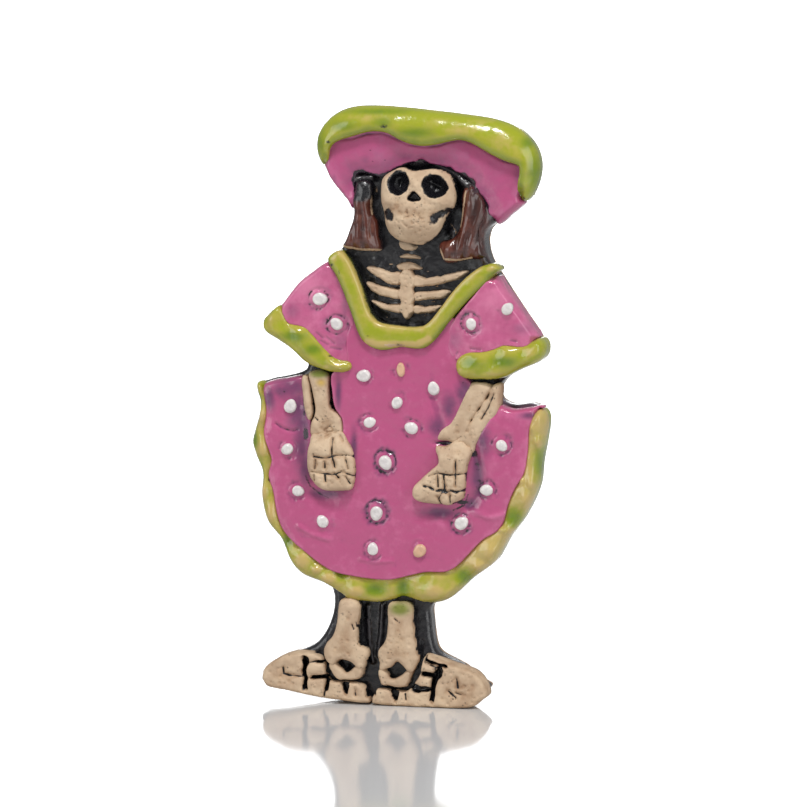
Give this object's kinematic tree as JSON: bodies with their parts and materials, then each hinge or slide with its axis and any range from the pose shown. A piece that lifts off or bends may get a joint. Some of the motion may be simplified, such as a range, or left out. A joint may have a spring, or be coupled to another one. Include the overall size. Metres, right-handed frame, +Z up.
{
  "type": "catrina relief figurine",
  "caption": "Flat-backed standing clay figurine of a skeleton lady in a broad hat and a spotted dress with a frilled hem, for display on a shelf.",
  "frame": {"origin": "bottom centre of the bounding box, on the ground under the soles", "axes": "+Z up the figure, the relief faces -Y, the flat back faces +Y"},
  "size_m": [0.038, 0.0084, 0.0751],
  "materials": {
    "clay": "unglazed fired clay, matte, finely pitted",
    "black_glaze": "glossy black glaze",
    "pink_glaze": "glossy pink glaze",
    "lime_glaze": "glossy yellow-green glaze, tan where thin",
    "brown_glaze": "glossy red-brown glaze",
    "white_glaze": "off-white glaze"
  },
  "bodies": {
    "root": {"skull": "clay", "neck_bone_upper": "clay", "neck_bone_lower": "clay", "throat_knot": "clay", "sternum": "clay", "collarbone_left": "clay", "collarbone_right": "clay", "rib_upper_left": "clay", "rib_upper_right": "clay", "rib_lower_left": "clay", "rib_lower_right": "clay", "radius_left": "clay", "ulna_left": "clay", "radius_right": "clay", "ulna_right": "clay", "hand_left": "clay", "hand_right": "clay", "shin_left": "clay", "shin_right": "clay", "ankle_bone_left": "clay", "ankle_bone_right": "clay", "foot_left": "clay", "foot_right": "clay", "backing_slab": "black_glaze", "hat_brim": "pink_glaze", "dress": "pink_glaze", "sleeve_left": "pink_glaze", "sleeve_right": "pink_glaze", "hat_edge_roll": "lime_glaze", "neckline_trim": "lime_glaze", "cuff_left": "lime_glaze", "cuff_right": "lime_glaze", "skirt_ruffle": "lime_glaze", "hair_lock_left": "brown_glaze", "hair_lock_right": "brown_glaze", "sleeve_dot_1": "white_glaze", "sleeve_dot_2": "white_glaze", "sleeve_dot_3": "white_glaze", "sleeve_dot_4": "white_glaze", "dress_dot_1": "white_glaze", "dress_dot_2": "white_glaze", "dress_dot_3": "white_glaze", "dress_dot_4": "white_glaze", "dress_dot_5": "white_glaze", "dress_dot_6": "white_glaze", "dress_dot_7": "white_glaze", "dress_dot_8": "white_glaze", "dress_dot_9": "white_glaze", "dress_dot_10": "white_glaze", "dress_dot_11": "white_glaze", "dress_dot_12": "white_glaze", "dress_dot_13": "white_glaze", "dress_dot_14": "white_glaze", "dress_dot_15": "white_glaze", "dress_dot_16": "white_glaze", "dress_dot_17": "white_glaze"}
  },
  "joints": []
}
